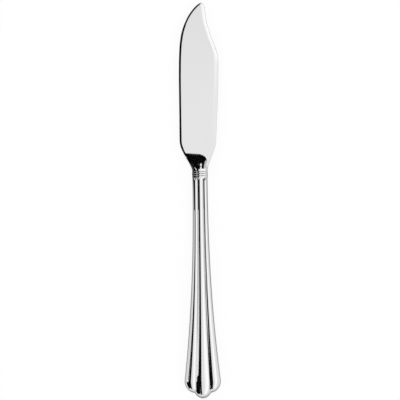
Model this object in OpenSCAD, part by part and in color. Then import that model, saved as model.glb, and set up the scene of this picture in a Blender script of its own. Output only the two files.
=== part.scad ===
// Hollow-handled fish knife with a reeded handle, in millimetres.
// It lies flat: the tip points along +Y, the curved edge faces -X and the spine +X.
// The origin is under the middle of the knife, on the surface that it lies on.

/* [Blade] */
// Length of the blade with its bolster, from the ferrule to the tip
blade_len = 89.5; // [80:0.5:105]
// Greatest width of the blade
blade_w = 21.1; // [18:0.1:26]
// Thickness of the flat of the blade
blade_t = 1.8; // [1.2:0.1:2.6]
// Distance of the tip from the middle line, towards the spine
tip_offset = 1.7; // [0:0.1:3]
// Length over which the tip is rounded
tip_round = 1.3; // [0.8:0.1:2.5]
// Width of the bevel along the curved edge
edge_bevel_w = 1.1; // [0.6:0.1:2]
// Thickness left at the curved edge, which is blunt
edge_rim_t = 1.2; // [0.4:0.1:1.4]
// Width of the soft bevel along the spine
spine_bevel_w = 3.2; // [0.8:0.1:4]
// Thickness left at the spine
spine_rim_t = 1.3; // [0.4:0.1:1.4]

/* [Bolster] */
// Length over which the neck widens into the blade
shoulder_len = 16.5; // [12:0.5:20]
// How late the neck widens into the blade: 1 is an even S curve
shoulder_power = 0.85; // [0.7:0.05:1.3]
// Length of the raised ramp between the neck and the flat of the blade
ramp_len = 8.7; // [6:0.1:11]
// How late the ramp falls to the flat of the blade: 1 is an even slope
ramp_power = 1.6; // [1:0.1:3]
// How flat the ramp is across, towards the curved edge: 2 is a parabola
ramp_edge_power = 5; // [2:0.5:6]
// How flat the ramp is across, towards the spine: 2 is a parabola
ramp_spine_power = 2.4; // [2:0.1:4]
// Length over which the oval neck turns into the ramp
neck_blend = 3; // [2:0.5:5]

/* [Neck] */
// Width of the oval neck
neck_w = 8; // [7:0.1:9]
// Thickness of the oval neck
neck_t = 6; // [5.4:0.1:7]
// Length of the ferrule between the bolster and the handle
ferrule_len = 3.3; // [1.8:0.1:4.5]
// Number of beads turned on the ferrule
ferrule_beads = 3; // [1:1:4]
// Height that the beads stand proud of the neck
bead_h = 0.15; // [0.05:0.05:0.3]

/* [Handle] */
// Length of the handle from the ferrule to the end of its middle reed
handle_len = 117.2; // [105:0.1:130]
// Greatest width of the handle, near its end
handle_w = 19.3; // [16:0.1:22]
// Greatest thickness of the handle, near its end
handle_t = 8; // [7:0.1:10]
// How late the handle widens: 1 is an even taper
flare_power = 2.28; // [1.5:0.01:3]
// Distance that the side reeds end short of the middle reed
side_setback = 2.9; // [1.5:0.1:5]
// Length of the rounded end of the side reeds
side_cap_len = 6.3; // [4:0.1:9]
// Length of the rounded end of the middle reed
middle_cap_len = 7.2; // [5:0.1:10]
// Length over which the reeds round down to the seam at their ends
reed_end_len = 3; // [2:0.1:4]
// Length over which the reeds rise out of the oval mouth
reed_runout = 1.6; // [1:0.1:5]
// Thickness of the sheet that the half shells are pressed from
shell_wall = 0.7; // [0.5:0.05:0.8]
// Thickness of the brazed joint between the half shells
seam_t = 0.15; // [0.1:0.05:0.3]

/* [Tang] */
// Length of the tang behind the bolster
tang_len = 62; // [40:1:80]
// Width of the tang where it leaves the bolster
tang_w = 4.4; // [3.4:0.1:4.8]
// Width of the tang at its far end
tang_tip_w = 3; // [2.4:0.1:3.4]
// Thickness of the tang
tang_t = 2.2; // [1.6:0.1:2.4]
// Number of notches cut in each side of the tang to hold the filler
tang_notches = 4; // [1:1:6]
// Radius of each notch
notch_r = 0.7; // [0.4:0.1:0.9]
// Gap round the tang where it passes through the ferrule and the filler
tang_gap = 0.1; // [0.05:0.01:0.2]
// Gap between the filler and the half shells
filler_gap = 0.05; // [0.03:0.01:0.1]

/* [Hidden] */

// Overrun of every cut past the face that it opens
over = 0.5;

total_len = blade_len + ferrule_len + handle_len;
neck_y = total_len / 2 - blade_len;
mouth_y = neck_y - ferrule_len;
middle_z = max(handle_t, neck_t + 2 * bead_h) / 2;

// Counts of faces: rows lie along the knife and columns across it
ramp_rows = 14;
flat_rows = 4;
tip_rows = 22;
blade_columns = 20;
oval_sides = 40;
rows_per_bead = 6;
mouth_rows = 4;
handle_rows = 20;
cap_rows = 14;
middle_columns = 5;
side_columns = 7;

// Outline of the curved edge: share of the blade's length from the tip, share of its half width
edge_shares = [
    [0, -0.1], [0.025, 0.14], [0.06, 0.385], [0.1, 0.585], [0.15, 0.765],
    [0.2, 0.872], [0.27, 0.947], [0.37, 0.985], [0.5, 1], [1, 1]
];
// Outline of the spine in the same shares, with its clipped point
spine_shares = [
    [0, 0.27], [0.03, 0.345], [0.075, 0.39], [0.12, 0.45], [0.178, 0.595],
    [0.21, 0.68], [0.275, 0.885], [0.315, 0.975], [0.355, 1], [0.5, 0.975],
    [0.72, 0.877], [1, 0.75]
];
// Share of the blade's length, from the tip, whose outline has the closest rows
tip_rows_share = 0.37;
// Share of the blade's length, from the tip, over which the edge's bevel grows to full width
bevel_share = 0.14;
// Share of its width that the edge's bevel keeps at the tip
bevel_tip_share = 0.85;
// How far the ramp follows the spine outwards, as a share of the shoulder's widening
ramp_follow_share = 0.65;
// How much further the ramp reaches along the curved edge, as a share of its length
ramp_slant_share = 0.075;
// Half width of the middle reed, as a share of the handle's half width
middle_reed_share = 0.55;
// Place of a side reed's crown, as a share of the handle's half width
side_crown_share = 0.61;
// Height of the side reeds, as a share of the middle reed's
side_height_share = 0.94;
// Place of a side reed's end, as a share of the middle reed's half width there
side_tuck_share = 0.85;
// Furthest place of a column that follows the groove, as a share of the outline
groove_limit_share = 0.9;
// Depth that a tang notch reaches past the tang's side, as a share of its radius
notch_depth_share = 0.8;

function mix(a, b, share) = a + (b - a) * share;
function clamp(x) = max(0, min(1, x));
function ease(x) = let (c = clamp(x)) c * c * (3 - 2 * c);
function arc(x) = sqrt(max(0, 1 - x * x));

// Smooth curve through a table of points, with no overshoot: slopes are harmonic means
function slope(table, i) = (table[i + 1][1] - table[i][1]) / (table[i + 1][0] - table[i][0]);
function tangent(table, i) =
    i == 0 ? slope(table, 0) :
    i == len(table) - 1 ? slope(table, i - 1) :
    let (a = slope(table, i - 1), b = slope(table, i))
    a * b <= 0 ? 0 : 2 * a * b / (a + b);
function segment(table, x, i = 0) =
    i >= len(table) - 2 || x < table[i + 1][0] ? i : segment(table, x, i + 1);
function curve(table, x) =
    let (
        i = segment(table, x),
        step = table[i + 1][0] - table[i][0],
        t = (x - table[i][0]) / step
    )
    table[i][1] * (1 + 2 * t) * (1 - t) * (1 - t)
    + table[i + 1][1] * t * t * (3 - 2 * t)
    + step * t * (1 - t) * (tangent(table, i) * (1 - t) - tangent(table, i + 1) * t);

// Half width of the blade on one side, at a distance v in front of the ferrule
function blade_side(table, v, tip_x) =
    let (
        from_tip = blade_len - v,
        outline = curve(table, from_tip / blade_len) * blade_w / 2,
        rounded = mix(tip_x, outline, arc(1 - min(1, from_tip / tip_round)))
    )
    mix(neck_w / 2, rounded, ease(pow(v / shoulder_len, shoulder_power)));
function edge_x(v) = blade_side(edge_shares, v, -tip_offset);
function spine_x(v) = blade_side(spine_shares, v, tip_offset);

// Height of the plate above the middle plane: flat, with a bevel down to each rim
function bevel(distance, bevel_w, rim_t, grow) =
    mix(blade_t, mix(blade_t, rim_t, grow), clamp(1 - distance / bevel_w)) / 2;
function plate_z(x, v) =
    let (
        grow = ease(v / shoulder_len),
        narrow = max(clamp((blade_len - v) / (bevel_share * blade_len)), bevel_tip_share)
    )
    min(
        bevel(edge_x(v) + x, edge_bevel_w * narrow, edge_rim_t, grow * narrow),
        bevel(spine_x(v) - x, spine_bevel_w, spine_rim_t, grow)
    );

// Height that the ramp adds: a power curve along the knife and another across it. Its foot
// slants forward along the curved edge and is rounded off towards the spine.
function ramp_z(x, v) =
    let (
        side = x < 0 ? edge_x(v) : mix(neck_w / 2, spine_x(v), ramp_follow_share),
        across = min(1, abs(x) / side),
        reach = ramp_len * (x < 0 ? 1 + ramp_slant_share * across : arc(across)),
        fall = v < reach ? 1 - pow(v / reach, ramp_power) : 0
    )
    (neck_t - blade_t) / 2 * fall * (1 - pow(across, x < 0 ? ramp_edge_power : ramp_spine_power));

// Upper surface of the blade and bolster: an oval at the neck, then the plate and its ramp
function blade_z(x, v) =
    let (
        side = x < 0 ? edge_x(v) : spine_x(v),
        oval = neck_t / 2 * arc(min(1, abs(x) / side)),
        tip = arc(1 - min(1, (blade_len - v) / tip_round))
    )
    mix(oval, plate_z(x, v) + ramp_z(x, v), ease(v / neck_blend)) * tip;

function blade_point(v, column, up) =
    let (
        x = mix(-edge_x(v), spine_x(v), (1 - cos(180 * column / blade_columns)) / 2),
        rim = column == 0 || column == blade_columns
    )
    [x, neck_y + v, rim ? 0 : up * blade_z(x, v)];
function blade_ring(v) = concat(
    [for (c = [0:blade_columns]) blade_point(v, c, 1)],
    [for (c = [blade_columns - 1:-1:1]) blade_point(v, c, -1)]
);
flat_end = blade_len * (1 - tip_rows_share);
blade_rows_v = concat(
    [for (i = [0:ramp_rows]) shoulder_len * i / ramp_rows],
    [for (i = [1:flat_rows]) mix(shoulder_len, flat_end, i / flat_rows)],
    [for (i = [1:tip_rows - 1]) mix(flat_end, blade_len, sin(90 * i / tip_rows))]
);

// Solid through a list of rings with equal counts of points, closed by a flat first ring
// and by a point at the end, or by a flat last ring where no point is given
module loft(rings, point) {
    n = len(rings[0]);
    rows = len(rings);
    pointed = !is_undef(point);
    points = [for (ring = rings) each ring];
    faces = concat(
        [[for (k = [0:n - 1]) k]],
        [for (i = [0:rows - 2], k = [0:n - 1])
            each let (a = i * n + k, b = i * n + (k + 1) % n) [[a, a + n, b], [b, a + n, b + n]]],
        pointed
            ? [for (k = [0:n - 1]) [(rows - 1) * n + k, rows * n, (rows - 1) * n + (k + 1) % n]]
            : [[for (k = [n - 1:-1:0]) (rows - 1) * n + k]]
    );
    polyhedron(pointed ? concat(points, [point]) : points, faces, convexity = 6);
}

// Flat tapered tang with round notches along both sides
module tang_outline(gap) {
    difference() {
        polygon([
            [-tang_w / 2 - gap, neck_y + over],
            [-tang_tip_w / 2 - gap, neck_y - tang_len - gap],
            [tang_tip_w / 2 + gap, neck_y - tang_len - gap],
            [tang_w / 2 + gap, neck_y + over]
        ]);
        if (gap == 0)
            for (i = [1:tang_notches], side = [-1, 1])
                let (along = i / (tang_notches + 1))
                translate([
                    side * (mix(tang_w, tang_tip_w, along) / 2 + notch_r * (1 - notch_depth_share)),
                    neck_y - ferrule_len - (tang_len - ferrule_len) * along
                ])
                circle(r = notch_r, $fn = 32);
    }
}
module tang_bar(gap) {
    height = tang_t + 2 * gap;
    translate([0, 0, -height / 2]) linear_extrude(height) tang_outline(gap);
}

// Shape of the handle at a distance u behind the ferrule
side_end = handle_len - side_setback;
widest_u = min(side_end - side_cap_len, handle_len - middle_cap_len);
function flare(u) = pow(min(u, widest_u) / widest_u, flare_power);
function handle_half_w(u) = mix(neck_w, handle_w, flare(u)) / 2;
function handle_half_t(u) = mix(neck_t, handle_t, flare(u)) / 2 - seam_t / 2;
function cap(u, end, cap_len) = u >= end ? 0 : arc(max(0, u - end + cap_len) / cap_len);
function middle_half_w(u) =
    middle_reed_share * handle_half_w(u) * cap(u, handle_len, middle_cap_len);
function middle_height(u) = handle_half_t(u) * cap(u, handle_len, reed_end_len);
function side_cap(u) = cap(u, side_end, side_cap_len);
function side_height(u) = side_height_share * handle_half_t(u) * cap(u, side_end, reed_end_len);
function side_half_w(u) = (1 - side_crown_share) * handle_half_w(u) * side_cap(u);
function side_crown(u) = mix(
    side_tuck_share * middle_half_w(side_end), side_crown_share * handle_half_w(u), side_cap(u)
);
function handle_x(u) =
    side_cap(u) > 0 ? max(middle_half_w(u), side_crown(u) + side_half_w(u)) : middle_half_w(u);

// Height of the reeds: the highest of three half ellipses, rising out of an oval at the mouth
function reed_z(x, half_w, height) = half_w > 0 ? height * arc(min(1, abs(x) / half_w)) : 0;
function handle_z(x, u) =
    let (
        middle = reed_z(x, middle_half_w(u), middle_height(u)),
        side = reed_z(abs(x) - side_crown(u), side_half_w(u), side_height(u)),
        oval = handle_half_t(u) * arc(min(1, abs(x) / handle_half_w(u)))
    )
    mix(oval, max(middle, side), ease(u / reed_runout));

// Place of the groove between two reeds, where their ellipses are equally high
function groove_x(u) =
    side_half_w(u) <= 0 ? handle_x(u) :
    let (
        c = side_crown(u),
        a = pow(side_height(u) / side_half_w(u), 2),
        b = pow(middle_height(u) / middle_half_w(u), 2),
        rest = a * c * c - pow(side_height(u), 2) + pow(middle_height(u), 2)
    )
    (a * c - sqrt(max(0, a * a * c * c - (a - b) * rest))) / (a - b);

function handle_column_x(u, column) =
    let (
        x = handle_x(u),
        groove = min(groove_x(u), groove_limit_share * x),
        k = abs(column) - middle_columns
    )
    sign(column) * (
        k <= 0 ? groove * abs(column) / middle_columns
        : mix(groove, x, sin(90 * k / side_columns))
    );
last_column = middle_columns + side_columns;
handle_rows_u = concat(
    [for (i = [0:mouth_rows]) reed_runout * i / mouth_rows],
    [for (i = [1:handle_rows]) mix(reed_runout, widest_u, i / handle_rows)],
    [for (i = [1:cap_rows - 1]) mix(widest_u, handle_len, sin(90 * i / cap_rows))]
);

// Point of the upper skin of the handle, drawn in by an inset towards the middle plane
function inset_y(u, inset) = mouth_y - u * (1 - inset / handle_len);
function skin_point(u, column, inset, floor_z) =
    let (x = handle_column_x(u, column))
    [
        x * (1 - inset / handle_half_w(u)),
        inset_y(u, inset),
        floor_z + handle_z(x, u) * (1 - inset / handle_half_t(u))
    ];

// Half shell: an outer and an inner skin, joined by a flat rim and a flat mouth
module half_shell() {
    n = 2 * (2 * last_column + 1);
    half = n / 2;
    rows = len(handle_rows_u);
    outer_tip = rows * n;
    inner_tip = outer_tip + 1;
    base = (rows - 1) * n;
    points = concat(
        [for (u = handle_rows_u) each concat(
            [for (c = [-last_column:last_column]) skin_point(u, c, 0, seam_t / 2)],
            [for (c = [last_column:-1:-last_column]) skin_point(u, c, shell_wall, seam_t / 2)]
        )],
        [[0, inset_y(handle_len, 0), seam_t / 2], [0, inset_y(handle_len, shell_wall), seam_t / 2]]
    );
    faces = concat(
        [for (k = [0:half - 2]) each [[k, n - 1 - k, k + 1], [k + 1, n - 1 - k, n - 2 - k]]],
        [for (i = [0:rows - 2], k = [0:n - 1])
            each let (a = i * n + k, b = i * n + (k + 1) % n) [[a, b, a + n], [b, b + n, a + n]]],
        [for (k = [0:half - 2]) [base + k, base + k + 1, outer_tip]],
        [for (k = [half:n - 2]) [base + k, base + k + 1, inner_tip]],
        [
            [base + half - 1, base + half, outer_tip],
            [base + half, inner_tip, outer_tip],
            [base + n - 1, base, inner_tip],
            [base, outer_tip, inner_tip]
        ]
    );
    polyhedron(points, faces, convexity = 8);
}

// Outline of the handle in the middle plane
module handle_outline(inset, reach) {
    side = [for (u = handle_rows_u) skin_point(u, last_column, inset, 0)];
    polygon(concat(
        [[-side[0][0], mouth_y + reach], [side[0][0], mouth_y + reach]],
        [for (p = side) [p[0], p[1]]],
        [[0, inset_y(handle_len, inset)]],
        [for (i = [len(side) - 1:-1:0]) [-side[i][0], side[i][1]]]
    ));
}

// Oval ring of the neck, grown outwards by an amount
function oval_ring(y, grow) = [
    for (i = [0:oval_sides - 1])
        let (angle = 360 * i / oval_sides)
        [-(neck_w / 2 + grow) * cos(angle), y, (neck_t / 2 + grow) * sin(angle)]
];

module blade() {
    color("gainsboro") translate([0, 0, middle_z]) {
        union() {
            loft([for (v = blade_rows_v) blade_ring(v)], [tip_offset, neck_y + blade_len, 0]);
            tang_bar(0);
        }
    }
}

module neck_ferrule() {
    rows = ferrule_beads * rows_per_bead;
    color("silver") translate([0, 0, middle_z]) difference() {
        loft([
            for (i = [0:rows])
                let (across = (i % rows_per_bead) / rows_per_bead * 2 - 1)
                oval_ring(mouth_y + ferrule_len * i / rows, i == rows ? 0 : bead_h * arc(across))
        ]);
        tang_bar(tang_gap);
    }
}

module front_shell() {
    color("silver") translate([0, 0, middle_z]) half_shell();
}

module back_shell() {
    color("silver") translate([0, 0, middle_z]) rotate([0, 180, 0]) half_shell();
}

module seam_braze() {
    color("lightgray") translate([0, 0, middle_z - seam_t / 2]) linear_extrude(seam_t) difference() {
        handle_outline(0, 0);
        handle_outline(shell_wall, over);
    }
}

module handle_filler() {
    inset = shell_wall + filler_gap;
    color("dimgray") translate([0, 0, middle_z]) difference() {
        loft(
            [for (u = handle_rows_u) concat(
                [for (c = [last_column:-1:-last_column]) skin_point(u, c, inset, 0)],
                [for (c = [-last_column + 1:last_column - 1])
                    let (p = skin_point(u, c, inset, 0)) [p[0], p[1], -p[2]]]
            )],
            [0, inset_y(handle_len, inset), 0]
        );
        tang_bar(tang_gap);
    }
}

blade();
neck_ferrule();
front_shell();
back_shell();
seam_braze();
handle_filler();
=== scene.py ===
"""Looks of a hollow-handled fish knife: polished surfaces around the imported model, and the stage."""

import math

import bpy
import numpy as np
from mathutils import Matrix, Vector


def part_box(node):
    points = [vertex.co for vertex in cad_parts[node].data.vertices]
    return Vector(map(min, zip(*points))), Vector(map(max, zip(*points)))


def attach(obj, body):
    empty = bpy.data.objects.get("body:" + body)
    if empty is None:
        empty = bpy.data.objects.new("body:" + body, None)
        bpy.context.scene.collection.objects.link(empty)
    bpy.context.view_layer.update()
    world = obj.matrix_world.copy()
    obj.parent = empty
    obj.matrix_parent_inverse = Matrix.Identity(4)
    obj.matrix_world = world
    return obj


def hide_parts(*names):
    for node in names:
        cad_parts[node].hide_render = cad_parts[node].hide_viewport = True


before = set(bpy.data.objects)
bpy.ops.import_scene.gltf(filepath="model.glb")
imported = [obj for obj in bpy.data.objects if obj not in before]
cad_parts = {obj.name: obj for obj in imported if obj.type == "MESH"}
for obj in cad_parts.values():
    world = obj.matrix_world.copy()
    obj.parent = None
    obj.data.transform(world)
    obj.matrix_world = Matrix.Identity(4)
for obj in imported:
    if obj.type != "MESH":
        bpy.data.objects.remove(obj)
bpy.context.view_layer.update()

bl_info = {
    "name": "Fish knife",
    "version": (1, 0, 0),
    "blender": (4, 5, 0),
    "location": "3D View > Sidebar > Knife",
    "description": "Builds the polished surfaces of a reeded fish knife and its stage",
    "category": "Object",
}

MM = 0.001

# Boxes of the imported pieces, each by its lowest and its highest corner
BLADE_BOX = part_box("blade")
SHELL_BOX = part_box("front_shell")
FERRULE_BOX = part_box("neck_ferrule")
SEAM_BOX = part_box("seam_braze")

# Places along the knife, from the tip to the scalloped end, and the height of its middle plane
TIP_Y = BLADE_BOX[1][1]
NECK_Y = FERRULE_BOX[1][1]
MOUTH_Y = FERRULE_BOX[0][1]
END_Y = SHELL_BOX[0][1]
MIDDLE_Z = (SEAM_BOX[0][2] + SEAM_BOX[1][2]) / 2


def length(name, text, value):
    """A size in metres that shows in the sidebar in the scene's own unit."""
    return bpy.props.FloatProperty(
        name=name, description=text, default=value, min=0.0, precision=5,
        subtype="DISTANCE", unit="LENGTH",
    )


def curve_power(name, text, value):
    """The power of a curve, which has no unit."""
    return bpy.props.FloatProperty(name=name, description=text, default=value, min=0.0, max=8.0)


def tint(name, text, value):
    """A colour as shares of red, green and blue light."""
    return bpy.props.FloatVectorProperty(
        name=name, description=text, default=value, size=3, subtype="COLOR", min=0.0, max=1.0
    )


class BladeSizes(bpy.types.PropertyGroup):
    """Sizes of the blade and its bolster."""

    blade_w: length("Blade width", "Greatest width of the blade", BLADE_BOX[1][0] - BLADE_BOX[0][0])
    blade_t: length("Blade thickness", "Thickness of the flat", 1.8 * MM)
    tip_offset: length("Tip offset", "Distance of the tip from the middle line", 1.7 * MM)
    tip_round: length("Tip rounding", "Length over which the tip is rounded", 1.3 * MM)
    edge_bevel_w: length("Edge bevel", "Width of the bevel along the curved edge", 1.1 * MM)
    edge_rim_t: length("Edge thickness", "Thickness left at the curved edge", 1.2 * MM)
    spine_bevel_w: length("Spine bevel", "Width of the soft bevel along the spine", 3.2 * MM)
    spine_rim_t: length("Spine thickness", "Thickness left at the spine", 1.3 * MM)
    spine_round: curve_power("Spine rounding", "Power of the curve of the soft bevel", 2.0)
    shoulder_len: length("Shoulder", "Length over which the neck widens into the blade", 16.5 * MM)
    shoulder_power: curve_power("Shoulder power", "How late the neck widens into the blade", 0.85)
    ramp_len: length("Ramp", "Length of the ramp between the neck and the flat", 8.7 * MM)
    ramp_power: curve_power("Ramp power", "How late the ramp falls to the flat", 1.6)
    ramp_edge_power: curve_power("Ramp edge power", "How flat the ramp is towards the edge", 5.0)
    ramp_spine_power: curve_power("Ramp spine power", "How flat the ramp is towards the spine", 2.4)
    ramp_fillet: length("Ramp fillet", "Height over which the foot of the ramp is softened", 0.25 * MM)
    neck_blend: length("Neck blend", "Length over which the oval neck turns into the ramp", 3 * MM)
    rim_round: length("Rim rounding", "Radius polished onto both rims", 0.15 * MM)
    crease: length("Crease", "Height over which polished creases are softened", 0.03 * MM)


class HandleSizes(bpy.types.PropertyGroup):
    """Sizes of the neck, the ferrule, the half shells and the seam."""

    neck_w: length("Neck width", "Width of the oval neck", 8 * MM)
    neck_t: length("Neck thickness", "Thickness of the oval neck", 6 * MM)
    bead_h: length("Bead height", "Height that the beads stand proud", 0.15 * MM)
    handle_w: length("Handle width", "Greatest width", SHELL_BOX[1][0] - SHELL_BOX[0][0])
    handle_t: length("Handle thickness", "Greatest thickness", 2 * (SHELL_BOX[1][2] - MIDDLE_Z))
    flare_power: curve_power("Flare power", "How late the handle widens", 2.28)
    side_setback: length("Side setback", "Distance that the side reeds end short", 2.9 * MM)
    side_cap_len: length("Side cap", "Length of the rounded end of the side reeds", 6.3 * MM)
    middle_cap_len: length("Middle cap", "Length of the rounded end of the middle reed", 7.2 * MM)
    reed_end_len: length("Reed ends", "Length over which the reeds round down at their ends", 3 * MM)
    reed_runout: length("Reed run-out", "Length over which the reeds rise at the mouth", 1.6 * MM)
    shell_wall: length("Shell wall", "Thickness of the pressed sheet", 0.7 * MM)
    seam_t: length("Seam", "Thickness of the brazed joint", SEAM_BOX[1][2] - SEAM_BOX[0][2])
    groove: length("Groove", "Height over which the bottom of a groove is rounded", 0.05 * MM)


class TangSizes(bpy.types.PropertyGroup):
    """Sizes of the tang inside the handle."""

    tang_w: length("Tang width", "Width where the tang leaves the bolster", 4.4 * MM)
    tang_tip_w: length("Tang tip width", "Width at the far end", 3 * MM)
    tang_t: length("Tang thickness", "Thickness of the tang", 2.2 * MM)
    tang_gap: length("Tang gap", "Gap round the tang in the ferrule's slot", 0.1 * MM)
    notch_r: length("Notch radius", "Radius of the notches that hold the filler", 0.7 * MM)
    tang_notches: bpy.props.IntProperty(
        name="Notches", description="Notches in each side of the tang", default=4, min=1, max=6
    )


class FinishColours(bpy.types.PropertyGroup):
    """Colours of the steel, the braze and the filler."""

    steel: tint("Steel", "Reflected colour of the polished steel", (0.80, 0.80, 0.80))
    braze: tint("Braze", "Reflected colour of the brazed joint", (0.74, 0.72, 0.68))
    filler: tint("Filler", "Colour of the filler in the handle", (0.32, 0.31, 0.30))


# Outline of the curved edge: share of the blade's length from the tip, share of its half width
EDGE_SHARES = [
    (0, -0.1), (0.025, 0.14), (0.06, 0.385), (0.1, 0.585), (0.15, 0.765),
    (0.2, 0.872), (0.27, 0.947), (0.37, 0.985), (0.5, 1), (1, 1),
]
# Outline of the spine in the same shares, with its clipped point
SPINE_SHARES = [
    (0, 0.27), (0.03, 0.345), (0.075, 0.39), (0.12, 0.45), (0.178, 0.595),
    (0.21, 0.68), (0.275, 0.885), (0.315, 0.975), (0.355, 1), (0.5, 0.975),
    (0.72, 0.877), (1, 0.75),
]
# The edge's bevel narrows over this share of the blade's length, to this share of its width
BEVEL_SHARE = 0.14
BEVEL_TIP_SHARE = 0.85
# How far the ramp follows the spine outwards, and how far its foot slants along the edge
RAMP_FOLLOW_SHARE = 0.65
RAMP_SLANT_SHARE = 0.075
# The middle reed's half width and the side reeds' crown, as shares of the handle's half width, the
# side reeds' height as a share of the middle one's, and their crown's place at the scalloped end
MIDDLE_REED_SHARE = 0.55
SIDE_CROWN_SHARE = 0.61
SIDE_HEIGHT_SHARE = 0.94
SIDE_TUCK_SHARE = 0.85
# How far out the columns at a groove may lie, as a share of the outline
GROOVE_LIMIT_SHARE = 0.9
# How deep the tang's notches are, as a share of their radius
NOTCH_DEPTH_SHARE = 0.8

# The ferrule's beads, and the power that squares the corners of its slot
BEADS = 3
SLOT_CORNER_POWER = 0.18

# How finely each surface is divided, in rows along the knife and columns across it
SHOULDER_ROWS = 150
FLAT_ROWS = 30
POINT_ROWS = 110
BLADE_COLUMNS = 141
NOTCH_ROWS = 13
MOUTH_ROWS = 14
REED_ROWS = 90
SCALLOP_ROWS = 70
MIDDLE_REED_COLUMNS = 26
SIDE_REED_COLUMNS = 34
BEAD_ROWS = 24
FERRULE_POINTS = 180
# Where the blade's rows start to crowd, and how near to each closing point the last row comes
FLAT_END_SHARE = 0.6
LAST_BLADE_SHARE = 0.999
LAST_HANDLE_SHARE = 0.998

# Distance over which an outline's slope is taken, distance under which two points are one, and
# the angle from which an edge stays sharp
SLOPE_STEP = 0.05 * MM
MERGE_DISTANCE = 1e-7
SHARP_ANGLE = math.radians(38)


def mix(a, b, part):
    """Straight blend: a where part is 0, b where it is 1."""
    return a + (b - a) * part


def ease(x):
    """Smooth step from 0 to 1: 3x^2 - 2x^3."""
    c = np.clip(x, 0, 1)
    return c * c * (3 - 2 * c)


def arc(x):
    """Quarter circle: the root of 1 - x^2, and 0 past 1."""
    return np.sqrt(np.maximum(0, 1 - np.square(x)))


def soft_max(a, b, crease):
    """The larger of two values, with the corner between them rounded over a crease."""
    return (a + b + np.sqrt(np.square(a - b) + crease * crease)) / 2


def soft_min(a, b, crease):
    """The smaller of two values, rounded in the same way."""
    return (a + b - np.sqrt(np.square(a - b) + crease * crease)) / 2


def curve(table, x):
    """Cubic curve through a table of points. Slopes are harmonic means, so it never overshoots."""
    xs, ys = np.array(table, float).T
    step = np.diff(xs)
    rise = np.diff(ys) / step
    inner = np.zeros(len(rise) - 1)
    same = rise[:-1] * rise[1:] > 0
    inner[same] = 2 * rise[:-1][same] * rise[1:][same] / (rise[:-1] + rise[1:])[same]
    slopes = np.concatenate([rise[:1], inner, rise[-1:]])
    i = np.clip(np.searchsorted(xs, x, side="right") - 1, 0, len(step) - 1)
    t = (x - xs[i]) / step[i]
    return (
        ys[i] * (1 + 2 * t) * (1 - t) ** 2
        + ys[i + 1] * t * t * (3 - 2 * t)
        + step[i] * t * (1 - t) * (slopes[i] * (1 - t) - slopes[i + 1] * t)
    )


def spread(start, end, count):
    """Evenly spaced stations after start, up to the end."""
    return start + (end - start) * np.arange(1, count + 1) / count


def crowded(start, end, count, last):
    """Stations that crowd towards the end by a sine and stop at a share of its quarter wave."""
    return start + (end - start) * np.sin(spread(0, last, count) * math.pi / 2)


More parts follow.
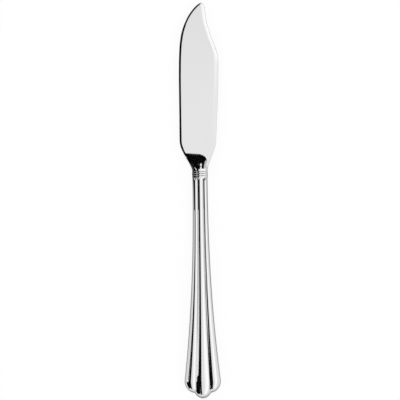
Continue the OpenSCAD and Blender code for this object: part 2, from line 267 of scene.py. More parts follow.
class Blade:
    """Shape of the blade, its bolster and its tang. v is the distance in front of the ferrule."""

    def __init__(self, sizes, handle, tang):
        self.sizes = sizes
        self.handle = handle
        self.tang = tang
        self.long = TIP_Y - NECK_Y
        self.tang_long = NECK_Y - BLADE_BOX[0][1]

    def side(self, table, v, tip_x):
        """Half width on one side: the table's curve, drawn in to the tip by a quarter circle and
        to the neck by a smooth step."""
        from_tip = self.long - v
        outline = curve(table, from_tip / self.long) * self.sizes.blade_w / 2
        rounded = mix(tip_x, outline, arc(1 - np.minimum(1, from_tip / self.sizes.tip_round)))
        widen = (np.maximum(v, 0) / self.sizes.shoulder_len) ** self.sizes.shoulder_power
        return mix(self.handle.neck_w / 2, rounded, ease(widen))

    def edge(self, v):
        """Distance of the curved edge from the middle line, to the left."""
        return self.side(EDGE_SHARES, v, -self.sizes.tip_offset)

    def spine(self, v):
        """Distance of the spine from the middle line, to the right."""
        return self.side(SPINE_SHARES, v, self.sizes.tip_offset)

    def lean(self, side, v):
        """Cosine of the angle between an outline and the knife's length."""
        ahead = np.minimum(v + SLOPE_STEP, self.long)
        slope = (side(ahead) - side(v - SLOPE_STEP)) / (ahead - v + SLOPE_STEP)
        return 1 / np.sqrt(1 + slope * slope)

    def inside(self, x, v):
        """Distances of a place from the edge and from the spine, square to each outline."""
        return (
            (self.edge(v) + x) * self.lean(self.edge, v),
            (self.spine(v) - x) * self.lean(self.spine, v),
        )

    def bevel(self, distance, bevel_w, rim_t, grow, power):
        """Half thickness at a distance from a rim: from the rim up to the flat, by a power curve."""
        flat = self.sizes.blade_t / 2
        drop = (flat - rim_t / 2) * grow
        return flat - drop * soft_max(0, 1 - distance / bevel_w, self.sizes.crease / bevel_w) ** power

    def plate(self, x, v):
        """Half thickness of the plate: the lower of the two bevels."""
        sizes = self.sizes
        grow = ease(v / sizes.shoulder_len)
        narrow = np.clip((self.long - v) / (BEVEL_SHARE * self.long), BEVEL_TIP_SHARE, 1)
        to_edge, to_spine = self.inside(x, v)
        edge = self.bevel(to_edge, sizes.edge_bevel_w * narrow, sizes.edge_rim_t, grow * narrow, 1)
        spine = self.bevel(
            to_spine, sizes.spine_bevel_w, sizes.spine_rim_t, grow, sizes.spine_round
        )
        return soft_min(edge, spine, sizes.crease)

    def ramp(self, x, v):
        """Rise of the ramp: a power curve along the knife times another across it. Its foot
        slants forward along the curved edge and is rounded off towards the spine."""
        sizes = self.sizes
        wide = mix(self.handle.neck_w / 2, self.spine(v), RAMP_FOLLOW_SHARE)
        across = np.minimum(1, np.abs(x) / np.where(x < 0, self.edge(v), wide))
        longer = np.where(x < 0, 1 + RAMP_SLANT_SHARE * across, arc(across))
        reach = np.maximum(sizes.ramp_len * longer, MERGE_DISTANCE)
        power = np.where(x < 0, sizes.ramp_edge_power, sizes.ramp_spine_power)
        height = (self.handle.neck_t - sizes.blade_t) / 2 * (1 - across ** power)
        run = 1 - (np.maximum(v, 0) / reach) ** sizes.ramp_power
        fall = np.where(run > 0, height, self.handle.neck_t) * np.maximum(run, -1)
        return soft_max(0, fall, sizes.ramp_fillet)

    def surface(self, x, v):
        """Height above the middle plane: an oval at the neck, then the plate and its ramp, with
        the rims rounded off by quarter circles."""
        side = np.where(x < 0, self.edge(v), self.spine(v))
        oval = self.handle.neck_t / 2 * arc(np.minimum(1, np.abs(x) / side))
        inside = np.minimum(np.minimum(*self.inside(x, v)), self.long - v)
        rim = arc(1 - np.clip(inside / self.sizes.rim_round, 0, 1))
        body = (self.plate(x, v) + self.ramp(x, v)) * rim
        return mix(oval, body, ease(v / self.sizes.neck_blend))

    def notches(self):
        """Distances of the notches behind the bolster: even steps from the ferrule to the end."""
        ferrule_len = NECK_Y - MOUTH_Y
        count = self.tang.tang_notches
        return ferrule_len + (self.tang_long - ferrule_len) * np.arange(1, count + 1) / (count + 1)

    def tang_stations(self):
        """Places along the tang: its two ends, and all along the arc of each notch."""
        turn = math.acos(1 - NOTCH_DEPTH_SHARE)
        reach = self.tang.notch_r * np.sin(np.linspace(-turn, turn, NOTCH_ROWS))
        return np.concatenate([[0], *(notch + reach for notch in self.notches()), [self.tang_long]])

    def tang_half_w(self, back):
        """Half width of the tang at a distance behind the bolster: a taper less round notches."""
        half = mix(self.tang.tang_w, self.tang.tang_tip_w, back / self.tang_long) / 2
        r = self.tang.notch_r
        away = np.abs(back[:, None] - self.notches()).min(axis=1)
        depth = r * arc(away / r) - r * (1 - NOTCH_DEPTH_SHARE)
        return half - np.maximum(0, depth)


class Handle:
    """Shape of the reeded handle. u is the distance behind the ferrule."""

    def __init__(self, sizes):
        self.sizes = sizes
        self.long = MOUTH_Y - END_Y
        self.side_end = self.long - sizes.side_setback
        self.widest = min(self.side_end - sizes.side_cap_len, self.long - sizes.middle_cap_len)

    def flare(self, u):
        """How far the handle has widened: a power curve from 0 at the mouth to 1."""
        return (np.minimum(u, self.widest) / self.widest) ** self.sizes.flare_power

    def half_w(self, u):
        """Half width without the rounded ends."""
        return mix(self.sizes.neck_w, self.sizes.handle_w, self.flare(u)) / 2

    def half_t(self, u):
        """Height of one shell's crown above its rim."""
        return mix(self.sizes.neck_t, self.sizes.handle_t, self.flare(u)) / 2 - self.sizes.seam_t / 2

    def cap(self, u, end, cap_len):
        """1 along a reed, falling to 0 at its end by a quarter ellipse."""
        return np.where(u >= end, 0, arc(np.maximum(0, u - end + cap_len) / cap_len))

    def middle_half_w(self, u):
        """Half width of the middle reed, rounded in at its end."""
        return MIDDLE_REED_SHARE * self.half_w(u) * self.cap(u, self.long, self.sizes.middle_cap_len)

    def side_cap(self, u):
        """1 along a side reed, falling to 0 at its end."""
        return self.cap(u, self.side_end, self.sizes.side_cap_len)

    def side_half_w(self, u):
        """Half width of a side reed, rounded in at its end."""
        return (1 - SIDE_CROWN_SHARE) * self.half_w(u) * self.side_cap(u)

    def middle_height(self, u):
        """Height of the middle reed's crown, rounded down at its end."""
        return self.half_t(u) * self.cap(u, self.long, self.sizes.reed_end_len)

    def side_height(self, u):
        """Height of a side reed's crown, rounded down at its end."""
        crown = SIDE_HEIGHT_SHARE * self.half_t(u)
        return crown * self.cap(u, self.side_end, self.sizes.reed_end_len)

    def side_crown(self, u):
        """Distance of a side reed's crown from the middle line, tucked in behind the middle reed
        at its end."""
        tuck = SIDE_TUCK_SHARE * self.middle_half_w(np.array(self.side_end))
        return mix(tuck, SIDE_CROWN_SHARE * self.half_w(u), self.side_cap(u))

    def outline(self, u):
        """Half width of the outline: that of the reed which reaches furthest out."""
        side = self.side_crown(u) + self.side_half_w(u)
        middle = self.middle_half_w(u)
        return np.where(self.side_cap(u) > 0, np.maximum(middle, side), middle)

    def reed(self, x, half_w, height):
        """Half ellipse of a half width and a height, and 0 outside it."""
        return height * arc(np.minimum(1, np.abs(x) / np.maximum(half_w, MERGE_DISTANCE)))

    def surface(self, x, u):
        """Height of the skin: the highest of three half ellipses, rising out of an oval."""
        middle = self.reed(x, self.middle_half_w(u), self.middle_height(u))
        side = self.reed(np.abs(x) - self.side_crown(u), self.side_half_w(u), self.side_height(u))
        oval = self.reed(x, self.half_w(u), self.half_t(u))
        fade = np.minimum(1, np.minimum(middle, side) / (4 * self.sizes.groove))
        reeds = soft_max(middle, side, self.sizes.groove * fade)
        return mix(oval, reeds, ease(u / self.sizes.reed_runout))

    def groove_x(self, u):
        """Place of the groove, where the two ellipses are equally high: the inner root of a
        quadratic in x."""
        c = self.side_crown(u)
        side_w = self.side_half_w(u)
        a = (self.side_height(u) / np.maximum(side_w, MERGE_DISTANCE)) ** 2
        b = (self.middle_height(u) / self.middle_half_w(u)) ** 2
        rest = a * c * c - self.side_height(u) ** 2 + self.middle_height(u) ** 2
        apart = np.where(a > b, a - b, 1)
        root = (a * c - np.sqrt(np.maximum(0, a * a * c * c - (a - b) * rest))) / apart
        return np.where(side_w > 0, root, self.outline(u))

    def columns(self, u):
        """Places across the handle: crowded towards the groove and towards the outline."""
        x = self.outline(u)[:, None]
        groove = np.minimum(self.groove_x(u)[:, None], GROOVE_LIMIT_SHARE * x)
        middle = groove * np.sin(spread(0, math.pi / 2, MIDDLE_REED_COLUMNS))
        side = mix(groove, x, (1 - np.cos(spread(0, math.pi, SIDE_REED_COLUMNS))) / 2)
        right = np.concatenate([middle, side], axis=1)
        return np.concatenate([-right[:, ::-1], np.zeros_like(x), right], axis=1)

    def stations(self):
        """Places along the handle: close together where the reeds rise and at the scallops."""
        return np.concatenate([
            [0],
            spread(0, self.sizes.reed_runout, MOUTH_ROWS),
            spread(self.sizes.reed_runout, self.widest, REED_ROWS),
            crowded(self.widest, self.long, SCALLOP_ROWS, LAST_HANDLE_SHARE),
        ])

    def skin(self, u, x, inset):
        """Rows of the skin, drawn in by an inset towards the middle line and the mouth."""
        u = u[:, None]
        return np.stack([
            x * (1 - inset / self.half_w(u)),
            np.broadcast_to(MOUTH_Y - u * (1 - inset / self.long), x.shape),
            self.sizes.seam_t / 2 + self.surface(x, u) * (1 - inset / self.half_t(u)),
        ], axis=-1)

    def end(self, inset):
        """The point that closes a skin at the scalloped end."""
        return (0, MOUTH_Y - self.long + inset, self.sizes.seam_t / 2)


def add_mesh(name, points, faces):
    """An object at the origin, from its points and the point numbers of each face."""
    mesh = bpy.data.meshes.new(name)
    mesh.from_pydata(points.tolist(), [], [face.tolist() for face in faces])
    obj = bpy.data.objects.new(name, mesh)
    bpy.context.scene.collection.objects.link(obj)
    return obj


def add_solid(name, points, faces):
    """A closed mesh with doubles merged, faces turned outwards and sharp edges kept."""
    obj = add_mesh(name, points, faces)
    bpy.context.view_layer.objects.active = obj
    bpy.ops.object.select_all(action="DESELECT")
    obj.select_set(True)
    bpy.ops.object.mode_set(mode="EDIT")
    bpy.ops.mesh.select_all(action="SELECT")
    bpy.ops.mesh.remove_doubles(threshold=MERGE_DISTANCE)
    bpy.ops.mesh.dissolve_degenerate(threshold=MERGE_DISTANCE)
    bpy.ops.mesh.select_all(action="SELECT")
    bpy.ops.mesh.normals_make_consistent(inside=False)
    bpy.ops.object.mode_set(mode="OBJECT")
    obj.data.shade_smooth()
    obj.data.set_sharp_from_angle(angle=SHARP_ANGLE)
    return obj


def rings_of(x, y, z):
    """Closed rings from rows of an upper surface: over the top and back underneath, mirrored."""
    upper = np.stack([x, np.broadcast_to(y[:, None], x.shape), z], axis=-1)
    lower = upper[:, -2:0:-1] * np.array([1, 1, -1])
    return np.concatenate([upper, lower], axis=1)


def ring_faces(rows, count):
    """Quads between neighbouring rings of a stack, each ring closed on itself."""
    i = np.arange(rows - 1)[:, None] * count
    k = np.arange(count)[None, :]
    ahead = (k + 1) % count
    return np.stack([i + k, i + ahead, i + count + ahead, i + count + k], axis=-1).reshape(-1, 4)


def fan_faces(base, count, tip):
    """Triangles from one ring to a single point."""
    k = np.arange(count)
    return np.stack([base + k, base + (k + 1) % count, np.full(count, tip)], axis=-1)


def closed_loft(name, rings, first, last):
    """A solid through a stack of rings, closed by a point at each end."""
    rows, count = rings.shape[:2]
    points = np.concatenate([rings.reshape(-1, 3), [first, last]])
    faces = list(ring_faces(rows, count))
    faces += list(fan_faces(0, count, rows * count))
    faces += list(fan_faces((rows - 1) * count, count, rows * count + 1))
    return add_solid(name, points, faces)


def build_blade(props):
    """Blade, bolster and tang: one loft of mirrored rows from the tang's end to the tip."""
    shape = Blade(props.blade, props.handle, props.tang)
    shoulder_len = shape.sizes.shoulder_len
    flat_end = FLAT_END_SHARE * shape.long
    v = np.concatenate([
        [0],
        spread(0, shoulder_len, SHOULDER_ROWS),
        spread(shoulder_len, flat_end, FLAT_ROWS),
        crowded(flat_end, shape.long, POINT_ROWS, LAST_BLADE_SHARE),
    ])
    across = (1 - np.cos(np.linspace(0, math.pi, BLADE_COLUMNS))) / 2
    x = mix(-shape.edge(v)[:, None], shape.spine(v)[:, None], across)
    z = shape.surface(x, v[:, None])
    z[:, [0, -1]] = 0
    blade = rings_of(x, v + NECK_Y, z)

    back = shape.tang_stations()
    half = shape.tang_half_w(back)[:, None]
    tang_x = half * (across * 2 - 1)
    inside = (half - np.abs(tang_x)) / (2 * shape.sizes.rim_round)
    tang_z = shape.tang.tang_t / 2 * arc(1 - np.clip(inside, 0, 1))
    tang = rings_of(tang_x, NECK_Y - back, tang_z)[::-1]

    rings = np.concatenate([tang, blade])
    rings[..., 2] += MIDDLE_Z
    end = (0, NECK_Y - shape.tang_long, MIDDLE_Z)
    tip = (shape.sizes.tip_offset, TIP_Y, MIDDLE_Z)
    return closed_loft("polished_blade", rings, end, tip)


def build_ferrule(props):
    """Ferrule: an oval ring, its rim swelled by round beads, with a slot for the tang."""
    handle = props.handle
    tang = props.tang
    along = np.linspace(0, BEADS, BEADS * BEAD_ROWS + 1)
    across = 2 * (along - np.floor(along)) - 1
    across[-1] = 1
    grow = handle.bead_h * arc(across)
    y = MOUTH_Y + (NECK_Y - MOUTH_Y) * along / BEADS
    angle = np.linspace(0, 2 * math.pi, FERRULE_POINTS, endpoint=False)

    def ring(x, z, level):
        return np.stack([x, np.full(FERRULE_POINTS, level), MIDDLE_Z + z], axis=-1)

    def boxy(wave):
        """A sine or cosine pushed out by a low power, so that an oval turns nearly square."""
        return np.sign(wave) * np.abs(wave) ** SLOT_CORNER_POWER

    half_w = handle.neck_w / 2 + grow
    half_t = handle.neck_t / 2 + grow
    outer = [
        ring(w * np.cos(angle), t * np.sin(angle), level) for w, t, level in zip(half_w, half_t, y)
    ]
    slot_x = (tang.tang_w / 2 + tang.tang_gap) * boxy(np.cos(angle))
    slot_z = (tang.tang_t / 2 + tang.tang_gap) * boxy(np.sin(angle))
    slot = [ring(slot_x, slot_z, level) for level in y[[-1, 0]]]
    rings = np.stack(outer + slot + outer[:1])
    return add_solid("beaded_ferrule", rings.reshape(-1, 3), ring_faces(len(rings), FERRULE_POINTS))


def build_shell(name, props, below):
    """Half shell: rings that run over the outer skin and back along the inner one."""
    shape = Handle(props.handle)
    wall = shape.sizes.shell_wall
    u = shape.stations()
    x = shape.columns(u)
    outer = shape.skin(u, x, 0)
    inner = shape.skin(u, x, wall)[:, ::-1]
    rings = np.concatenate([outer, inner], axis=1)
    rows, count = rings.shape[:2]
    half = count // 2
    points = np.concatenate([rings.reshape(-1, 3), [shape.end(0), shape.end(wall)]])
    points[:, 2] *= -1 if below else 1
    points[:, 2] += MIDDLE_Z
    k = np.arange(half - 1)
    mouth = np.stack([k, k + 1, count - 2 - k, count - 1 - k], axis=-1)
    base = (rows - 1) * count
    outer_tip = rows * count
    inner_tip = outer_tip + 1
    faces = list(ring_faces(rows, count)) + list(mouth)
    faces += [np.array([base + i, base + i + 1, outer_tip]) for i in range(half - 1)]
    faces += [np.array([base + i, base + i + 1, inner_tip]) for i in range(half, count - 1)]
    faces.append(np.array([base + half - 1, base + half, inner_tip, outer_tip]))
    faces.append(np.array([base + count - 1, base, outer_tip, inner_tip]))
    return add_solid(name, points, faces)


def build_seam(props):
    """Braze: the strip between the outline and the same outline drawn in by the wall."""
    shape = Handle(props.handle)
    wall = shape.sizes.shell_wall
    half = shape.sizes.seam_t / 2
    u = shape.stations()
    x = shape.outline(u)

    def round_the_end(x, y, tip_y):
        """A line down the right side, through a point at the end, and up the left side."""
        right = np.stack([x, y], axis=-1)
        return np.concatenate([right, [[0, tip_y]], right[::-1] * np.array([-1, 1])])

    outer = round_the_end(x, MOUTH_Y - u, END_Y)
    inner = round_the_end(
        x * (1 - wall / shape.half_w(u)), MOUTH_Y - u * (1 - wall / shape.long), END_Y + wall
    )
    corners = ((outer, half), (inner, half), (inner, -half), (outer, -half))
    rings = np.stack([
        np.column_stack([line, np.full(len(line), MIDDLE_Z + z)]) for line, z in corners
    ], axis=1)
    rows, count = rings.shape[:2]
    faces = list(ring_faces(rows, count))
    faces.append(np.arange(count))
    faces.append(np.arange(count) + (rows - 1) * count)
    return add_solid("brazed_seam", rings.reshape(-1, 3), faces)


class Value:
    """A number that comes out of a socket. Arithmetic on it adds Math nodes."""

    def __init__(self, nodes, socket):
        self.nodes = nodes
        self.socket = socket

    def math(self, operation, *others):
        return self.nodes.add("ShaderNodeMath", {"operation": operation}, (self, *others))

    def __add__(self, other):
        return self.math("ADD", other)

    __radd__ = __add__

    def __sub__(self, other):
        return self.math("SUBTRACT", other)

    def __rsub__(self, other):
        return (self * -1) + other

    def __neg__(self):
        return self * -1

    def __mul__(self, other):
        return self.math("MULTIPLY", other)

    __rmul__ = __mul__

    def __truediv__(self, other):
        return self.math("DIVIDE", other)

    def __pow__(self, other):
        return self.math("POWER", other)

    def __abs__(self):
        return self.math("ABSOLUTE")

    def most(self, other):
        """The larger of two values."""
        return self.math("MAXIMUM", other)

    def rise(self, low, high):
        """Smooth step from 0 at low to 1 at high."""
        return self.nodes.add(
            "ShaderNodeMapRange", {"interpolation_type": "SMOOTHSTEP"}, (self, low, high, 0.0, 1.0)
        )

    def fall(self, low, high):
        """Smooth step from 1 at low to 0 at high."""
        return 1 - self.rise(low, high)


class Nodes:
    """Adds nodes to one tree. A node takes its settings first, then its sockets in order or by name."""

    def __init__(self, tree):
        self.tree = tree
        tree.nodes.clear()

    def node(self, kind, settings=None, inputs=()):
        """A node. An input is a Value, another node's output socket or a plain value."""
        made = self.tree.nodes.new(kind)
        for key, value in (settings or {}).items():
            setattr(made, key, value)
        named = inputs.items() if isinstance(inputs, dict) else enumerate(inputs)
        for key, value in named:
            if isinstance(value, Value):
                self.tree.links.new(value.socket, made.inputs[key])
            elif hasattr(value, "is_output"):
                self.tree.links.new(value, made.inputs[key])
            else:
                made.inputs[key].default_value = value
        return made

    def add(self, kind, settings=None, inputs=(), output=0):
        """One output of a new node, as a Value."""
        return Value(self, self.node(kind, settings, inputs).outputs[output])

    def parts(self, vector):
        """The x, y and z of a vector."""
        split = self.node("ShaderNodeSeparateXYZ", None, (vector,))
        return [Value(self, socket) for socket in split.outputs]

    def tinted(self, colour, shade):
        """A colour made lighter or darker by a value."""
        scaled = self.node("ShaderNodeVectorMath", {"operation": "SCALE"}, {0: colour, "Scale": shade})
        return scaled.outputs["Vector"]

    def bumped(self, height, strength, distance):
        """A normal that tilts with the slopes of a height."""
        return self.add(
            "ShaderNodeBump", None, {"Strength": strength, "Distance": distance, "Height": height}, "Normal"
        )

    def finish(self, shader, output="ShaderNodeOutputMaterial"):
        """Ends the tree with its shader."""
        self.node(output, None, {"Surface": shader.outputs[0]})


# Scales of the noise in each finish, along x, y and z: the larger a scale, the finer the pattern
PLATE_LINES = (3200.0, 120.0, 3200.0)
HANDLE_LINES = (2600.0, 90.0, 2600.0)
SMEARS = (90.0, 35.0, 90.0)
CLOUDS = (30.0, 12.0, 30.0)
HAIRLINES = (5200.0, 60.0, 900.0)
HAIRLINE_TURN = 0.35
BRAZE_FLOW = (900.0, 300.0, 900.0)
BRAZE_PORES = (4000.0, 4000.0, 4000.0)
SAND_GRAINS = (2500.0, 2500.0, 2500.0)
SAND_PATCHES = (300.0, 300.0, 300.0)
TABLE_FIBRES = (400.0, 400.0, 400.0)
# Roughness of the mirror polish
POLISH = 0.045


def new_material(name):
    """A material, and the nodes that it is made of."""
    material = bpy.data.materials.new(name)
    material.use_nodes = True
    return material, Nodes(material.node_tree)


def object_place(nodes):
    """Object coordinates, in metres."""
    return nodes.add("ShaderNodeTexCoord", None, (), "Object")


def stretched(nodes, place, scale, detail, rough, turn=0.0):
    """Noise from about 0 to 1 on coordinates scaled by their own factor along each axis, and
    turned about z."""
    mapped = nodes.add(
        "ShaderNodeMapping", None, {"Vector": place, "Rotation": (0.0, 0.0, turn), "Scale": scale}
    )
    return nodes.add(
        "ShaderNodeTexNoise", None,
        {"Vector": mapped, "Scale": 1.0, "Detail": detail, "Roughness": rough}, "Fac",
    )


def polished_steel(name, colour, lines):
    """Mirror-polished steel: fine polishing lines, soft smears in the gloss, a few hairline
    scratches from use, and rims that the polishing wheel has worn brighter."""
    material, nodes = new_material(name)
    place = object_place(nodes)
    grain = stretched(nodes, place, lines, 3.0, 0.6)
    smear = stretched(nodes, place, SMEARS, 4.0, 0.55)
    cloud = stretched(nodes, place, CLOUDS, 2.0, 0.5)
    hair = stretched(nodes, place, HAIRLINES, 1.0, 0.4, HAIRLINE_TURN)
    scratch = hair.rise(0.70, 0.76) * smear.rise(0.50, 0.66)
    worn = nodes.add("ShaderNodeNewGeometry", None, (), "Pointiness").rise(0.52, 0.60)
    roughness = POLISH + (smear - 0.5) * 0.04 + (cloud - 0.5) * 0.02 + scratch * 0.06 - worn * 0.01
    shade = (cloud * 0.03 + 0.985) * (1 - scratch * 0.05)
    nodes.finish(nodes.node("ShaderNodeBsdfPrincipled", None, {
        "Base Color": nodes.tinted(colour, shade), "Metallic": 1.0, "Roughness": roughness,
        "Normal": nodes.bumped(grain * 0.6 + scratch * -0.4, 0.05, 0.02 * MM),
    }))
    return material


def braze_metal(colour):
    """Brazed joint: the filler metal, a little warmer and duller than the steel, with pores."""
    material, nodes = new_material("braze_metal")
    place = object_place(nodes)
    flow = stretched(nodes, place, BRAZE_FLOW, 3.0, 0.6)
    pores = stretched(nodes, place, BRAZE_PORES, 1.0, 0.5)
    nodes.finish(nodes.node("ShaderNodeBsdfPrincipled", None, {
        "Base Color": nodes.tinted(colour, flow * 0.12 + 0.92), "Metallic": 1.0,
        "Roughness": flow * 0.12 + 0.12, "Normal": nodes.bumped(flow - pores, 0.3, 0.02 * MM),
    }))
    return material


def cement(colour):
    """Hard filler: matte, sandy, with darker grains."""
    material, nodes = new_material("cement")
    place = object_place(nodes)
    sand = stretched(nodes, place, SAND_GRAINS, 4.0, 0.6)
    patch = stretched(nodes, place, SAND_PATCHES, 2.0, 0.5)
    shade = (sand * 0.5 + 0.75) * (patch * 0.3 + 0.85)
    nodes.finish(nodes.node("ShaderNodeBsdfPrincipled", None, {
        "Base Color": nodes.tinted(colour, shade), "Roughness": sand * 0.15 + 0.75,
        "Normal": nodes.bumped(sand, 0.6, 0.05 * MM),
    }))
    return material


def handle_steel(props):
    """The steel of the ferrule and the shells, made once."""
    found = bpy.data.materials.get("polished_handle")
    return found or polished_steel("polished_handle", tuple(props.finish.steel), HANDLE_LINES)


def dress(obj, material, slot, *nodes):
    """Gives a piece its material and its body, and hides the CAD nodes that it stands for. The slot is not
    used.
    """
    obj.data.materials.clear()
    obj.data.materials.append(material)
    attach(obj, "root")
    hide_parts(*nodes)


class KNIFE_OT_blade(bpy.types.Operator):
    """Build the polished blade with its bolster and tang"""

    bl_idname = "knife.blade"
    bl_label = "Blade"

    def execute(self, context):
        props = context.scene.fish_knife
        material = polished_steel("polished_plate", tuple(props.finish.steel), PLATE_LINES)
        dress(build_blade(props), material, "blade_steel", "blade")
        return {"FINISHED"}


class KNIFE_OT_ferrule(bpy.types.Operator):
    """Build the beaded ferrule at the neck"""

    bl_idname = "knife.ferrule"
    bl_label = "Ferrule"

    def execute(self, context):
        props = context.scene.fish_knife
        dress(build_ferrule(props), handle_steel(props), "handle_steel", "neck_ferrule")
        return {"FINISHED"}


class KNIFE_OT_handle(bpy.types.Operator):
    """Build both pressed half shells of the handle"""

    bl_idname = "knife.handle"
    bl_label = "Handle shells"

    def execute(self, context):
        props = context.scene.fish_knife
        for name, node, below in (("reeded_front_shell", "front_shell", False),
                                  ("reeded_back_shell", "back_shell", True)):
            dress(build_shell(name, props, below), handle_steel(props), "handle_steel", node)
        return {"FINISHED"}


class KNIFE_OT_joint(bpy.types.Operator):
    """Build the brazed seam and finish the filler inside the handle"""

    bl_idname = "knife.joint"
    bl_label = "Seam and filler"

    def execute(self, context):
        props = context.scene.fish_knife
        dress(build_seam(props), braze_metal(tuple(props.finish.braze)), "braze", "seam_braze")
        material = cement(tuple(props.finish.filler))
        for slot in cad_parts["handle_filler"].material_slots:
            slot.material = material
        return {"FINISHED"}


# The photograph's frame, in its own pixels
FRAME_PX = 400
KNIFE_LONG_PX = 395.6
MIDDLE_PX = (200.27, 200.5)
KNIFE_TURN = math.radians(0.785)
# The camera's lens and the width of its sensor, in millimetres
CAMERA_LENS = 150.0
CAMERA_SENSOR = 36.0

# Brightness of the surroundings, where 1 is the plain background
CEILING_LEVEL = 0.975
WALL_LEVEL = 1.23
DROP_LEVEL = 1.05
# How much of the light a flag takes
FLAG_DEPTH = 0.998

# Half the table's width in metres, and how much of its brightness is its own
TABLE_HALF = 3.0
TABLE_GLOW = 0.9

# Black cards to the left, in millimetres: the plane that they stand in, and each card's two ends
# by their place along the knife, their foot and their top
CARD_X = -50
CARD_ENDS = [
    ((-125, 38, 110), (-96, 38, 110)),
    ((-85, 56, 58), (-20, 30, 58)),
    ((-20, 30, 58), (-5, 30, 58)),
    ((-5, 4, 58), (42, 4, 58)),
]
FELT_BLACK = 0.004

# The soft lamp: its width in metres, its watts, its place and how it is turned
LAMP_SIZE = 1.2
LAMP_POWER = 2.0
LAMP_PLACE = (0.5, -0.2, 1.3)
LAMP_TURN = (math.radians(9), math.radians(21), 0.0)


class Mirrored:
    """The way that a ray looks, named by the slope of the surface that would mirror it to the
    camera overhead: p across the knife and q along it. Slope is their length, across and along
    are their shares of it, and left is 1 on the curved edge's side."""

    def __init__(self, nodes):
        x, y, z = nodes.parts(nodes.add("ShaderNodeTexCoord", None, (), "Generated"))
        # The lowest limits keep the divisions finite straight down and straight up
        high = (z + 1).most(0.02)
        self.p = x / high
        self.q = y / high
        self.slope = (self.p * self.p + self.q * self.q).most(1e-8) ** 0.5
        self.across = self.p / self.slope
        self.along = self.q / self.slope
        self.left = (-self.across).rise(0.25, 0.40)


def room(way):
    """The pale room: a ceiling that dims towards both ends of the knife, a brighter wall on the
    spine's side, a dimmer corner beyond the tip, and less light low down."""
    ceiling = CEILING_LEVEL - (-way.q).rise(0.0, 0.07) * 0.075 - way.q.rise(0.02, 0.10) * 0.12
    wall = way.across.rise(0.55, 0.85) * way.slope.rise(0.07, 0.33)
    ahead = way.along.rise(0.2, 0.45) * way.across.rise(0.5, 0.75) * way.slope.rise(0.02, 0.16)
    wall = wall.most(ahead) * way.slope.fall(0.47, 0.57)
    corner = way.along.rise(0.12, 0.30) * way.across.rise(0.2, 0.5) * way.slope.rise(0.20, 0.32)
    low = way.slope.rise(0.80, 1.0)
    return (ceiling + (WALL_LEVEL - ceiling) * wall) * (1 - corner * 0.3) * (1 - low * 0.3)


def openings(way):
    """Where the flags are open. The near opening starts at a steeper slope beside the neck and
    towards the handle's end. The far ones lie low on the left, past both ends of the knife."""
    by_neck = way.q.rise(-0.0105, -0.0065) * way.q.fall(0.012, 0.018)
    by_end = way.q.fall(-0.038, -0.030)
    start = 0.38 + by_neck * 0.22 + by_end * 0.10
    near = (way.slope - start).rise(-0.02, 0.02)
    near = near * way.q.rise(-0.066, -0.060) * way.q.fall(0.05, 0.06)
    far = way.q.rise(0.17, 0.23) + way.q.fall(-0.32, -0.26) * way.across.rise(-0.86, -0.80)
    return near.most(far * way.left * way.slope.rise(0.40, 0.46))


def flags(way):
    """Black flags: one all along the left, one beyond the tip, which is wider for steep slopes,
    and one on the right that shades the bolster's end."""
    left = way.left * way.slope.rise(0.085, 0.115)
    limit = 0.70 - way.slope.rise(0.18, 0.26) * 0.35
    ahead = way.along + (way.across * -0.5).most(0.0) - limit
    tip = ahead.rise(-0.05, 0.05) * way.slope.rise(0.075, 0.11) * way.slope.fall(0.45, 0.55)
    right = way.p.rise(0.20, 0.26) * way.p.fall(0.42, 0.48) * way.q.rise(0.07, 0.10)
    right = right * way.slope.fall(0.48, 0.56)
    return left.most(tip).most(right)


def stage_world(scene):
    """Studio surroundings: even white light, and for reflections the pale room with its black
    flags and the openings in them. A drop of light and a small gap in the flags are there for the
    bolster and the neck."""
    world = bpy.data.worlds.new("studio")
    scene.world = world
    world.use_nodes = True
    nodes = Nodes(world.node_tree)
    way = Mirrored(nodes)
    drop = way.p.rise(0.01, 0.03) * way.p.fall(0.14, 0.17) * way.q.fall(0.24, 0.26)
    gap = abs(way.p + 0.32).fall(0.09, 0.12) * abs(way.q + 0.13).fall(0.05, 0.07)
    flag = flags(way) * (1 - openings(way)) * (1 - drop * way.q.rise(0.0, 0.05)) * (1 - gap)
    drop_light = drop * way.q.rise(0.05, 0.12) * DROP_LEVEL
    reflected = (room(way) * (1 - flag * FLAG_DEPTH)).most(drop_light)
    path = nodes.node("ShaderNodeLightPath")
    glossy = Value(nodes, path.outputs["Is Glossy Ray"])
    shader = nodes.node("ShaderNodeBackground", None, {
        "Color": (1.0, 1.0, 1.0, 1.0), "Strength": 1.0 + (reflected - 1.0) * glossy,
    })
    nodes.finish(shader, "ShaderNodeOutputWorld")


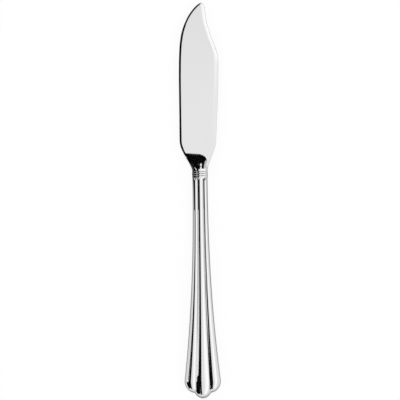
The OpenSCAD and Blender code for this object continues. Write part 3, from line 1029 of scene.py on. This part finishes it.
def stage_table():
    """White table. To the camera and to reflections most of its brightness is its own, and the
    rest takes light and shadow. For reflections a shade is painted on it: painted dimmer beside the
    knife, and painted black to the left of the bolster and the blade."""
    half = TABLE_HALF
    corners = np.array([(-half, -half, 0.0), (half, -half, 0.0), (half, half, 0.0), (-half, half, 0.0)])
    obj = add_mesh("table_top", corners, np.array([[0, 1, 2, 3]]))
    material, nodes = new_material("white_table")
    place = object_place(nodes)
    fibre = stretched(nodes, place, TABLE_FIBRES, 3.0, 0.6)
    matt = nodes.node("ShaderNodeBsdfPrincipled", None, {
        "Base Color": (0.96, 0.96, 0.96, 1.0), "Roughness": 0.9, "Specular IOR Level": 0.1,
        "Normal": nodes.bumped(fibre, 0.02, 0.1 * MM),
    })
    path = nodes.node("ShaderNodeLightPath")
    camera = Value(nodes, path.outputs["Is Camera Ray"])
    glossy = Value(nodes, path.outputs["Is Glossy Ray"])
    x, y, _ = nodes.parts(place)
    aside = abs(x)
    # Painted shade, seen only in reflections: the table is painted dimmer within a few centimetres of the
    # knife's middle line and painted black to the left of the bolster and the blade
    painted_black_patch = (-x).rise(2 * MM, 6 * MM) * (y + aside * 0.45).rise(12.5 * MM, 16.5 * MM)
    mirrored = (aside.rise(13 * MM, 24 * MM) * 0.6 + 0.3) * (1 - painted_black_patch)
    # The emission carries plain white to the camera and the painted shade to reflections
    glow = nodes.node("ShaderNodeEmission", None, {
        "Color": (1.0, 1.0, 1.0, 1.0), "Strength": camera + glossy * mirrored,
    })
    own = camera.most(glossy) * TABLE_GLOW
    nodes.finish(nodes.node("ShaderNodeMixShader", None, (own, matt.outputs[0], glow.outputs[0])))
    obj.data.materials.append(material)


def stage_cards():
    """Black cards that stand to the left, deep beside the bolster, raised along the handle and
    tall beyond its end. They are seen only in the reflections."""
    corners = []
    for (start, foot, top), (end, end_foot, end_top) in CARD_ENDS:
        corners += [(start, foot), (end, end_foot), (end, end_top), (start, top)]
    points = np.array([(CARD_X, y, z) for y, z in corners]) * MM
    obj = add_mesh("black_card", points, np.arange(len(points)).reshape(-1, 4))
    material, nodes = new_material("black_felt")
    nodes.finish(nodes.node("ShaderNodeBsdfDiffuse", None, {
        "Color": (FELT_BLACK, FELT_BLACK, FELT_BLACK, 1.0), "Roughness": 1.0,
    }))
    obj.data.materials.append(material)
    obj.visible_camera = False
    obj.visible_diffuse = False
    obj.visible_shadow = False


def stage_light():
    """One broad soft lamp above the knife, a little to the spine's side."""
    lamp = bpy.data.lights.new("soft_box", "AREA")
    lamp.shape = "RECTANGLE"
    lamp.size = LAMP_SIZE
    lamp.size_y = LAMP_SIZE
    lamp.energy = LAMP_POWER
    obj = bpy.data.objects.new("soft_box", lamp)
    obj.location = LAMP_PLACE
    obj.rotation_euler = LAMP_TURN
    obj.visible_glossy = False
    bpy.context.scene.collection.objects.link(obj)


def stage_camera(scene):
    """Camera straight above: the knife's length fills its share of the frame."""
    pixel = (TIP_Y - END_Y) / KNIFE_LONG_PX
    distance = FRAME_PX * pixel * CAMERA_LENS / CAMERA_SENSOR
    camera = bpy.data.cameras.new("overhead")
    camera.lens = CAMERA_LENS
    camera.sensor_width = CAMERA_SENSOR
    camera.clip_start = 0.01
    camera.clip_end = 20.0
    obj = bpy.data.objects.new("overhead", camera)
    bpy.context.scene.collection.objects.link(obj)
    right = (FRAME_PX / 2 - MIDDLE_PX[0]) * pixel
    up = (MIDDLE_PX[1] - FRAME_PX / 2) * pixel
    middle_y = (TIP_Y + END_Y) / 2
    obj.location = (right, middle_y + up, MIDDLE_Z + distance)
    obj.rotation_euler = (0.0, 0.0, -KNIFE_TURN)
    scene.camera = obj


class KNIFE_OT_stage(bpy.types.Operator):
    """Set the table, the cards, the light, the surroundings and the camera"""

    bl_idname = "knife.stage"
    bl_label = "Stage"

    def execute(self, context):
        scene = context.scene
        stage_world(scene)
        stage_table()
        stage_cards()
        stage_light()
        stage_camera(scene)
        scene.view_settings.view_transform = "Standard"
        return {"FINISHED"}


class FishKnife(bpy.types.PropertyGroup):
    """Everything about the knife that a user can change."""

    blade: bpy.props.PointerProperty(type=BladeSizes, name="Blade", description="Sizes of the blade")
    handle: bpy.props.PointerProperty(type=HandleSizes, name="Handle", description="Sizes of the handle")
    tang: bpy.props.PointerProperty(type=TangSizes, name="Tang", description="Sizes of the tang")
    finish: bpy.props.PointerProperty(type=FinishColours, name="Finish", description="Colours of the metals")


class KNIFE_PT_panel(bpy.types.Panel):
    """Sizes and steps of the knife"""

    bl_label = "Fish knife"
    bl_idname = "KNIFE_PT_panel"
    bl_space_type = "VIEW_3D"
    bl_region_type = "UI"
    bl_category = "Knife"

    def draw(self, context):
        props = context.scene.fish_knife
        for group in (props.blade, props.handle, props.tang, props.finish):
            box = self.layout.box()
            for name in group.bl_rna.properties.keys():
                if name not in ("name", "rna_type"):
                    box.prop(group, name)
        for step in STEPS:
            self.layout.operator(step.bl_idname)


STEPS = (KNIFE_OT_blade, KNIFE_OT_ferrule, KNIFE_OT_handle, KNIFE_OT_joint, KNIFE_OT_stage)
CLASSES = (BladeSizes, HandleSizes, TangSizes, FinishColours, FishKnife, *STEPS, KNIFE_PT_panel)


def register():
    for item in CLASSES:
        bpy.utils.register_class(item)
    bpy.types.Scene.fish_knife = bpy.props.PointerProperty(type=FishKnife)


def unregister():
    del bpy.types.Scene.fish_knife
    for item in reversed(CLASSES):
        bpy.utils.unregister_class(item)


def main():
    """Builds every piece and the stage."""
    register()
    bpy.ops.knife.blade()
    bpy.ops.knife.ferrule()
    bpy.ops.knife.handle()
    bpy.ops.knife.joint()
    bpy.ops.knife.stage()


if __name__ == "__main__":
    main()
